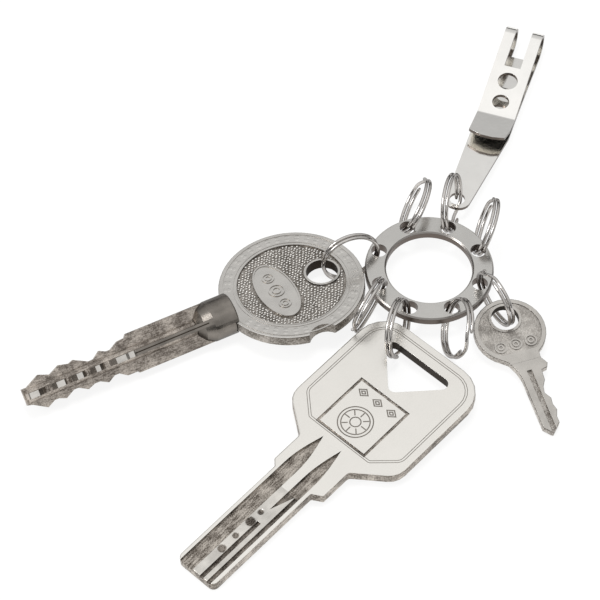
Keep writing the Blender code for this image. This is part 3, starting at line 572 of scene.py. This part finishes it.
def build_bow():
    """Cast bow: pebbled field, raised lines at its rim and oval, and beads round its rim."""
    place = PLACES["cross_key"]
    bow = finished("cross_key_bow_cast", copied("cross_key_bow"), "cross_key", BOW_METAL,
                   ["cross_key_bow"])

    def in_hole(spot, way):
        return (abs(spot.x + BOW_HOLE_AT) < BOW_HOLE_REACH and abs(spot.y) < BOW_HOLE_REACH
                and abs(way.z) < STEEP)

    # Painted shade on the walls of the bow's hole
    refinished(bow, place, PAINTED_HOLE_SHADE, in_hole)
    softened(bow, 0.07 * MM)
    pebble = Matrix.Diagonal((PEBBLE_SIZE[0] * MM, PEBBLE_SIZE[1] * MM, PEBBLE_SIZE[2] * MM, 1.0))
    shape = bmesh.new()
    for row in range(-PEBBLE_ROWS, PEBBLE_ROWS + 1):
        for column in range(-PEBBLE_ROWS, PEBBLE_ROWS + 1):
            x = (column + 0.5 * (row % 2)) * PEBBLE_PITCH[0] * MM
            y = row * PEBBLE_PITCH[1] * MM
            angle = sin(row * 12.9898 + column * 78.233) * 3.0
            x += PEBBLE_SCATTER * MM * cos(angle)
            y += PEBBLE_SCATTER * MM * sin(angle)
            along = (x - OVAL_AT[0] * MM) / (OVAL_CLEAR[0] * MM)
            across = (y - OVAL_AT[1] * MM) / (OVAL_CLEAR[1] * MM)
            in_oval = along ** 2 + across ** 2 < 1.0
            in_eyelet = (x + BOW_HOLE_AT * MM) ** 2 + y ** 2 < (EYELET_RADIUS * MM) ** 2
            if x ** 2 + y ** 2 < (PEBBLED_RADIUS * MM) ** 2 and not in_oval and not in_eyelet:
                bmesh.ops.create_icosphere(shape, subdivisions=1, radius=1.0,
                                           matrix=Matrix.Translation((x, y, BOW_FIELD)) @ pebble)
    finished("cross_key_bow_pebbles", shape, "cross_key", PEBBLE_METAL, place=place,
             smooth=80.0)
    shape = bmesh.new()
    low = BOW_TOP - ENGRAVED
    for radius, width in RIM_LINES:
        around = oval(0.0, 0.0, radius * MM, radius * MM, 96)
        ring_line(shape, around, width * MM, low, BOW_TOP + 0.08 * MM)
    around = oval(OVAL_AT[0] * MM, OVAL_AT[1] * MM, OVAL_LINE[0] * MM, OVAL_LINE[1] * MM)
    ring_line(shape, around, 0.3 * MM, low, BOW_TOP + 0.16 * MM)
    for radius, spot in OVAL_RINGS:
        for share in (1.0, 0.55):
            size = radius * share * MM
            around = oval(OVAL_AT[0] * MM, (OVAL_AT[1] + spot) * MM, size, size, 40)
            ring_line(shape, around, 0.28 * MM, low, BOW_TOP + 0.18 * MM)
    long, wide, rise = BEAD_SIZE
    for k in range(BEADS_ROUND):
        angle = 2 * pi * (k + 0.5) / BEADS_ROUND
        from_notch = abs(angle - pi / 2)
        from_collar = abs((angle + pi) % (2 * pi) - pi)
        if from_notch > BEADLESS_NOTCH and from_collar > BEADLESS_COLLAR:
            for out in BEAD_CIRCLES:
                bead(shape, out * MM * cos(angle), out * MM * sin(angle), long * MM, wide * MM, angle,
                     BOW_TOP, rise * MM)
    finished("cross_key_bow_lines", shape, "cross_key", BOW_METAL, place=place)


# Cross blade, in millimetres from the middle of the bow
COLLAR_END = 20.4
DOME_END = 24.0
DOME_SLOPE = 0.25
PLAIN_LAND_END = 39.0
LAND_RADIUS = 4.2
GROOVE_AT = 29.6 * MM
GROOVE_LENGTH = 17.2 * MM
GROOVE_WIDTH = 0.26 * MM
GROOVE_HEIGHTS = (4.3 * MM, 4.42 * MM)


def build_blade():
    """Milled cross blade with plated collar and plain lands, and a dark line along its upper land."""
    place = PLACES["cross_key"]
    blade = finished("cross_key_blade_milled", copied("cross_key_blade"), "cross_key", BLADE_METAL,
                     ["cross_key_blade"], smooth=15.0)

    def is_plated(spot, way):
        on_dome = way.x > DOME_SLOPE and spot.x < DOME_END
        on_plain_land = spot.x < PLAIN_LAND_END and hypot(spot.y, spot.z) > LAND_RADIUS
        return spot.x < COLLAR_END or on_dome or on_plain_land

    refinished(blade, place, COLLAR_METAL, is_plated)
    softened(blade, 0.06 * MM)
    shape = bmesh.new()
    # A dark bar of painted shade along the upper land, standing in for a milled groove
    bar(shape, GROOVE_AT, 0.0, GROOVE_LENGTH, GROOVE_WIDTH, 0.0, *GROOVE_HEIGHTS)
    finished("cross_key_land_groove_shade", shape, "cross_key", PAINTED_HOLE_SHADE, place=UPPER_WING)


# Small key, in millimetres from the middle of its head
SMALL_HOLE_AT = 3.1
SMALL_HOLE_REACH = 3.1
SMALL_FLOOR = 0.7 * MM
SMALL_RINGS_AT = 3.6 * MM
SMALL_RING_SPOTS = (-3.4, 0.0, 3.4)
SMALL_RING_RADIUS = 1.35
SMALL_LINE = 0.3 * MM


def build_small_key():
    """Small worn key with a line across its neck and three double rings in its field."""
    place = PLACES["small_key"]
    key = finished("small_key_body", copied("small_key"), "small_key", SMALL_METAL,
                   ["small_key"])

    def in_hole(spot, way):
        return hypot(spot.x + SMALL_HOLE_AT, spot.y) < SMALL_HOLE_REACH and abs(way.z) < STEEP

    # Painted shade on the walls of the hole
    refinished(key, place, PAINTED_HOLE_SHADE, in_hole)
    softened(key, 0.06 * MM)
    shape = bmesh.new()
    low = SMALL_FLOOR - ENGRAVED
    for side in SMALL_RING_SPOTS:
        for share in (1.0, 0.5):
            size = SMALL_RING_RADIUS * share * MM
            ring_line(shape, oval(SMALL_RINGS_AT, side * MM, size, size, 32), SMALL_LINE, low, 0.88 * MM)
    bar(shape, 8.0 * MM, 0.3 * MM, SMALL_LINE, 6.6 * MM, 0.0, low, 0.93 * MM)
    finished("small_key_ornament", shape, "small_key", SMALL_METAL, place=place)


for ring in RINGS:
    split_ring(ring)
build_plate()
build_clip()
build_dimple_key()
build_bow()
build_blade()
build_small_key()


# Table, light and camera

TABLE_RADIUS = 0.7
TABLE_GLOW = 0.86
TENT_STRENGTH = 1.15
TENT_TONES = (
    (0.0, 0.03), (0.18, 0.08), (0.3, 0.55), (0.63, 0.62), (0.81, 0.74), (0.85, 0.85), (0.9, 1.0),
    (0.97, 0.85), (1.0, 0.75),
)
VIEW_DISTANCE = 550
VIEW_TILT = 54.0
VIEW_SHIFT = (0.82, -1.67, -0.045)
PICTURE_WIDTH = 600
PIXELS_PER_MM = 4.587
SENSOR = 36.0


def build_table():
    """White table that shows the pieces' soft shadow."""
    shape = bmesh.new()
    bmesh.ops.create_circle(shape, cap_ends=True, segments=96, radius=TABLE_RADIUS)
    mesh = bpy.data.meshes.new("table_top")
    shape.to_mesh(mesh)
    shape.free()
    table = bpy.data.objects.new("table_top", mesh)
    bpy.context.scene.collection.objects.link(table)
    material = bpy.data.materials.new("white_matt_paper")
    material.use_nodes = True
    tree = material.node_tree
    tree.nodes.clear()
    paper = add(tree, "ShaderNodeBsdfDiffuse", {"Color": linear("#F4F3F1")})
    glow = add(tree, "ShaderNodeEmission", {"Color": linear("#FFFFFF"), "Strength": 1.0})
    rays = add(tree, "ShaderNodeLightPath")
    seen = add(tree, "ShaderNodeMath",
               links={0: rays.outputs["Is Camera Ray"], 1: rays.outputs["Is Glossy Ray"]}, operation="MAXIMUM")
    share = add(tree, "ShaderNodeMath", {1: TABLE_GLOW}, {0: seen.outputs[0]}, operation="MULTIPLY")
    mix = add(tree, "ShaderNodeMixShader",
              links={0: share.outputs[0], 1: paper.outputs[0], 2: glow.outputs[0]})
    add(tree, "ShaderNodeOutputMaterial", links={0: mix.outputs[0]})
    mesh.materials.append(material)


def build_world():
    """Studio tent: brightest high up, a little softer overhead and round the sides, dark below the table."""
    world = bpy.data.worlds.new("studio_tent")
    bpy.context.scene.world = world
    world.use_nodes = True
    tree = world.node_tree
    tree.nodes.clear()
    where = add(tree, "ShaderNodeTexCoord")
    parts = add(tree, "ShaderNodeSeparateXYZ", links={0: where.outputs["Generated"]})
    tone = ramp(tree, parts.outputs[2], [(height, grey(value)) for height, value in TENT_TONES])
    light = add(tree, "ShaderNodeBackground", {"Strength": TENT_STRENGTH}, {"Color": tone.outputs[0]})
    backdrop = add(tree, "ShaderNodeBackground", {"Color": linear("#FFFFFF"), "Strength": 1.0})
    rays = add(tree, "ShaderNodeLightPath")
    mix = add(tree, "ShaderNodeMixShader", links={0: rays.outputs["Is Camera Ray"], 1: light.outputs[0],
                                                  2: backdrop.outputs[0]})
    add(tree, "ShaderNodeOutputWorld", links={0: mix.outputs[0]})


def build_lamp(name, place, aim, size, power):
    """Soft box at a place, turned to its aim."""
    data = bpy.data.lights.new(name, "AREA")
    data.shape = "RECTANGLE"
    data.size, data.size_y = size
    data.energy = power
    lamp = bpy.data.objects.new(name, data)
    bpy.context.scene.collection.objects.link(lamp)
    lamp.location = place
    lamp.rotation_euler = (Vector(aim) - Vector(place)).to_track_quat("-Z", "Y").to_euler()
    return lamp


def build_camera():
    """Camera at the photograph's angle and distance."""
    data = bpy.data.cameras.new("camera")
    data.sensor_width = SENSOR
    data.lens = PIXELS_PER_MM * VIEW_DISTANCE / PICTURE_WIDTH * SENSOR
    camera = bpy.data.objects.new("camera", data)
    bpy.context.scene.collection.objects.link(camera)
    tilt = radians(VIEW_TILT)
    right, ahead, up = VIEW_SHIFT
    camera.location = Vector((right, -VIEW_DISTANCE * cos(tilt) + ahead, VIEW_DISTANCE * sin(tilt) + up)) * MM
    camera.rotation_euler = (radians(90.0 - VIEW_TILT), 0.0, 0.0)
    data.clip_start = 0.01
    bpy.context.scene.camera = camera


build_table()
build_world()
# The polarised overhead box gives the table its soft shadow and leaves no glare on flat metal
overhead = build_lamp("overhead_box", (0.0, 0.05, 0.7), (0.0, 0.0, 0.0), (0.25, 0.2), 3.0)
overhead.visible_glossy = False
build_lamp("left_box", (-0.5, -0.2, 0.45), (0.0, 0.0, 0.0), (0.2, 0.3), 2.0)
build_camera()
bpy.context.scene.view_settings.view_transform = "Standard"
